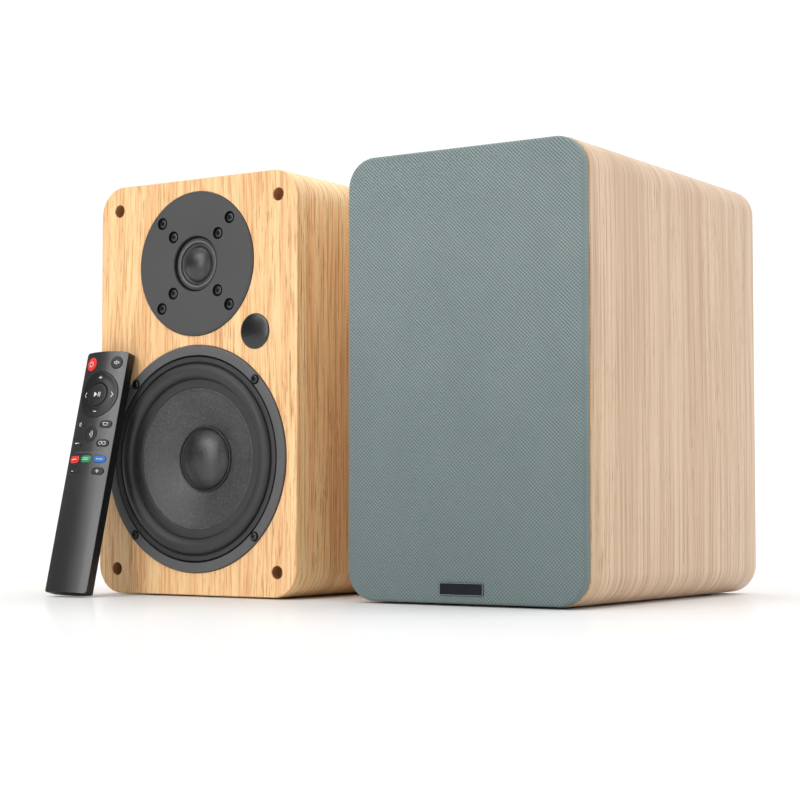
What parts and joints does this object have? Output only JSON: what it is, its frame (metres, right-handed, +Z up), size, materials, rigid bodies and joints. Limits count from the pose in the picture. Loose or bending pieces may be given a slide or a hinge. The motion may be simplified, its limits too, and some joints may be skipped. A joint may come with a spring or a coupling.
{
  "type": "stereo desktop speakers",
  "caption": "Stereo desktop speakers in oak-film cabinets: a powered one with open drivers and rear controls, a passive one behind a cloth grille, and a slim remote control.",
  "frame": {"origin": "on the desk, at the middle of the whole set's footprint", "axes": "+Z up, the fronts face -Y, +X towards the right speaker"},
  "size_m": [0.396, 0.323, 0.29],
  "materials": {
    "baffle_oak": "satin wood-grain film, honey oak, straight vertical grain",
    "cabinet_oak": "satin wood-grain film, pale oak, grain running up the sides and over the top",
    "driver_frame": "matt dark grey, fine moulded texture",
    "pressed_steel": "semi-matt black paint",
    "surround_rubber": "matt rubber",
    "spider_cloth": "resin-treated corrugated cloth",
    "motor_steel": "zinc plated",
    "paper_cone": "pressed paper pulp, matt, finely speckled",
    "dust_cap": "pressed pulp, matt",
    "copper_coil": "enamelled copper wire on a former",
    "dome_silk": "coated silk, soft sheen",
    "screw_black": "black oxide",
    "port_plastic": "moulded black plastic",
    "pad_rubber": "matt rubber",
    "receiver_window": "gloss infra-red plastic",
    "plate_black": "powder-coated steel, fine texture",
    "circuit_board": "solder-masked board",
    "socket_plastic": "moulded black plastic with plated contacts",
    "knob_black": "fluted moulded plastic",
    "rocker_black": "gloss moulded plastic",
    "grille_frame": "moulded frame",
    "grille_cloth": "grey-green basket weave",
    "badge_plate": "dark anodised plate with a fine bright edge",
    "remote_case": "satin black plastic",
    "key_black": "matt rubber with printed symbols",
    "key_red": "matt rubber",
    "key_green": "matt rubber",
    "key_blue": "matt rubber",
    "cell_wrap": "printed sleeve"
  },
  "bodies": {
    "left_speaker": {"left_cabinet": "cabinet_oak", "left_front_baffle": "baffle_oak", "left_woofer_basket": "pressed_steel", "left_woofer_surround": "surround_rubber", "left_woofer_spider": "spider_cloth", "left_woofer_motor": "motor_steel", "left_tweeter_faceplate": "driver_frame", "left_tweeter_motor": "motor_steel", "left_port_tube": "port_plastic", "left_screws": "screw_black", "left_feet": "pad_rubber", "left_receiver_window": "receiver_window", "left_amplifier_plate": "plate_black", "left_amplifier_board": "circuit_board", "left_audio_sockets": "socket_plastic", "left_mains_fittings": "socket_plastic"},
    "left_woofer_diaphragm": {"left_woofer_cone": "paper_cone", "left_woofer_dust_cap": "dust_cap", "left_woofer_voice_coil": "copper_coil"},
    "left_tweeter_diaphragm": {"left_tweeter_dome": "dome_silk"},
    "volume_control": {"volume_knob": "knob_black"},
    "treble_control": {"treble_knob": "knob_black"},
    "bass_control": {"bass_knob": "knob_black"},
    "power_switch": {"power_rocker": "rocker_black"},
    "right_speaker": {"right_cabinet": "cabinet_oak", "right_front_baffle": "baffle_oak", "right_woofer_basket": "pressed_steel", "right_woofer_suspension": "surround_rubber", "right_woofer_motor": "motor_steel", "right_tweeter_faceplate": "driver_frame", "right_tweeter_motor": "motor_steel", "right_port_tube": "port_plastic", "right_screws": "screw_black", "right_feet": "pad_rubber", "right_link_cup": "socket_plastic", "right_crossover_board": "circuit_board"},
    "right_woofer_diaphragm": {"right_woofer_cone": "paper_cone"},
    "right_tweeter_diaphragm": {"right_tweeter_dome": "dome_silk"},
    "grille": {"grille_frame": "grille_frame", "grille_cloth": "grille_cloth", "grille_badge": "badge_plate"},
    "remote": {"remote_front_case": "remote_case", "remote_back_case": "remote_case", "remote_circuit_board": "circuit_board", "remote_batteries": "cell_wrap"},
    "battery_door": {"remote_battery_door": "remote_case"},
    "power_button": {"remote_power_button": "key_red"},
    "mute_button": {"remote_mute_button": "key_black"},
    "navigation_ring": {"remote_navigation_ring": "key_black"},
    "play_button": {"remote_play_button": "key_black"},
    "optical_button": {"remote_optical_button": "key_black"},
    "arc_button": {"remote_arc_button": "key_black"},
    "wireless_button": {"remote_wireless_button": "key_black"},
    "aux_button": {"remote_aux_button": "key_black"},
    "line_button": {"remote_line_button": "key_black"},
    "red_button": {"remote_red_button": "key_red"},
    "green_button": {"remote_green_button": "key_green"},
    "blue_button": {"remote_blue_button": "key_blue"},
    "left_option_button": {"remote_left_option_button": "key_black"},
    "right_option_button": {"remote_right_option_button": "key_black"}
  },
  "joints": [
    {"name": "right_speaker_spacing", "type": "slide", "parent": "left_speaker", "child": "right_speaker", "axis": [1, 0, 0], "range_m": [0, 0.4]},
    {"name": "remote_pick_up", "type": "slide", "parent": "left_speaker", "child": "remote", "axis": [0, -0.8, 0.6], "range_m": [0, 0.15]},
    {"name": "grille_pull_off", "type": "slide", "parent": "right_speaker", "child": "grille", "axis": [0, -1, 0], "range_m": [0, 0.06]},
    {"name": "left_woofer_travel", "type": "slide", "parent": "left_speaker", "child": "left_woofer_diaphragm", "axis": [0, -1, 0], "range_m": [-0.004, 0.004], "deforming": ["left_woofer_surround", "left_woofer_spider"]},
    {"name": "right_woofer_travel", "type": "slide", "parent": "right_speaker", "child": "right_woofer_diaphragm", "axis": [0, -1, 0], "range_m": [-0.004, 0.004], "deforming": ["right_woofer_suspension"]},
    {"name": "left_tweeter_travel", "type": "slide", "parent": "left_speaker", "child": "left_tweeter_diaphragm", "axis": [0, -1, 0], "range_m": [-0.0003, 0.0003]},
    {"name": "right_tweeter_travel", "type": "slide", "parent": "right_speaker", "child": "right_tweeter_diaphragm", "axis": [0, -1, 0], "range_m": [-0.0003, 0.0003]},
    {"name": "volume_turn", "type": "hinge", "parent": "left_speaker", "child": "volume_control", "pos_m": [-0.06955, 0.15212, 0.16], "axis": [0, 1, 0], "range_deg": [-150, 150]},
    {"name": "treble_turn", "type": "hinge", "parent": "left_speaker", "child": "treble_control", "pos_m": [-0.10755, 0.15212, 0.16], "axis": [0, 1, 0], "range_deg": [-150, 150]},
    {"name": "bass_turn", "type": "hinge", "parent": "left_speaker", "child": "bass_control", "pos_m": [-0.14555, 0.15212, 0.16], "axis": [0, 1, 0], "range_deg": [-150, 150]},
    {"name": "power_switch_tip", "type": "hinge", "parent": "left_speaker", "child": "power_switch", "pos_m": [-0.10755, 0.14412, 0.062], "axis": [-1, 0, 0], "range_deg": [0, 16]},
    {"name": "battery_door_swing", "type": "hinge", "parent": "remote", "child": "battery_door", "pos_m": [-0.1786, -0.14474, 0.01311], "axis": [-1, 0, 0], "range_deg": [0, 30]},
    {"name": "power_press", "type": "slide", "parent": "remote", "child": "power_button", "axis": [0, 0.9703, -0.2419], "range_m": [0, 0.0008]},
    {"name": "mute_press", "type": "slide", "parent": "remote", "child": "mute_button", "axis": [0, 0.9703, -0.2419], "range_m": [0, 0.0008]},
    {"name": "navigation_ring_tip", "type": "hinge", "parent": "remote", "child": "navigation_ring", "pos_m": [-0.1786, -0.12394, 0.13994], "axis": [1, 0, 0], "range_deg": [-2.5, 2.5]},
    {"name": "play_press", "type": "slide", "parent": "remote", "child": "play_button", "axis": [0, 0.9703, -0.2419], "range_m": [0, 0.0008]},
    {"name": "optical_press", "type": "slide", "parent": "remote", "child": "optical_button", "axis": [0, 0.9703, -0.2419], "range_m": [0, 0.0008]},
    {"name": "arc_press", "type": "slide", "parent": "remote", "child": "arc_button", "axis": [0, 0.9703, -0.2419], "range_m": [0, 0.0008]},
    {"name": "wireless_press", "type": "slide", "parent": "remote", "child": "wireless_button", "axis": [0, 0.9703, -0.2419], "range_m": [0, 0.0008]},
    {"name": "aux_press", "type": "slide", "parent": "remote", "child": "aux_button", "axis": [0, 0.9703, -0.2419], "range_m": [0, 0.0008]},
    {"name": "line_press", "type": "slide", "parent": "remote", "child": "line_button", "axis": [0, 0.9703, -0.2419], "range_m": [0, 0.0008]},
    {"name": "red_press", "type": "slide", "parent": "remote", "child": "red_button", "axis": [0, 0.9703, -0.2419], "range_m": [0, 0.0008]},
    {"name": "green_press", "type": "slide", "parent": "remote", "child": "green_button", "axis": [0, 0.9703, -0.2419], "range_m": [0, 0.0008]},
    {"name": "blue_press", "type": "slide", "parent": "remote", "child": "blue_button", "axis": [0, 0.9703, -0.2419], "range_m": [0, 0.0008]},
    {"name": "left_option_press", "type": "slide", "parent": "remote", "child": "left_option_button", "axis": [0, 0.9703, -0.2419], "range_m": [0, 0.0008]},
    {"name": "right_option_press", "type": "slide", "parent": "remote", "child": "right_option_button", "axis": [0, 0.9703, -0.2419], "range_m": [0, 0.0008]}
  ]
}
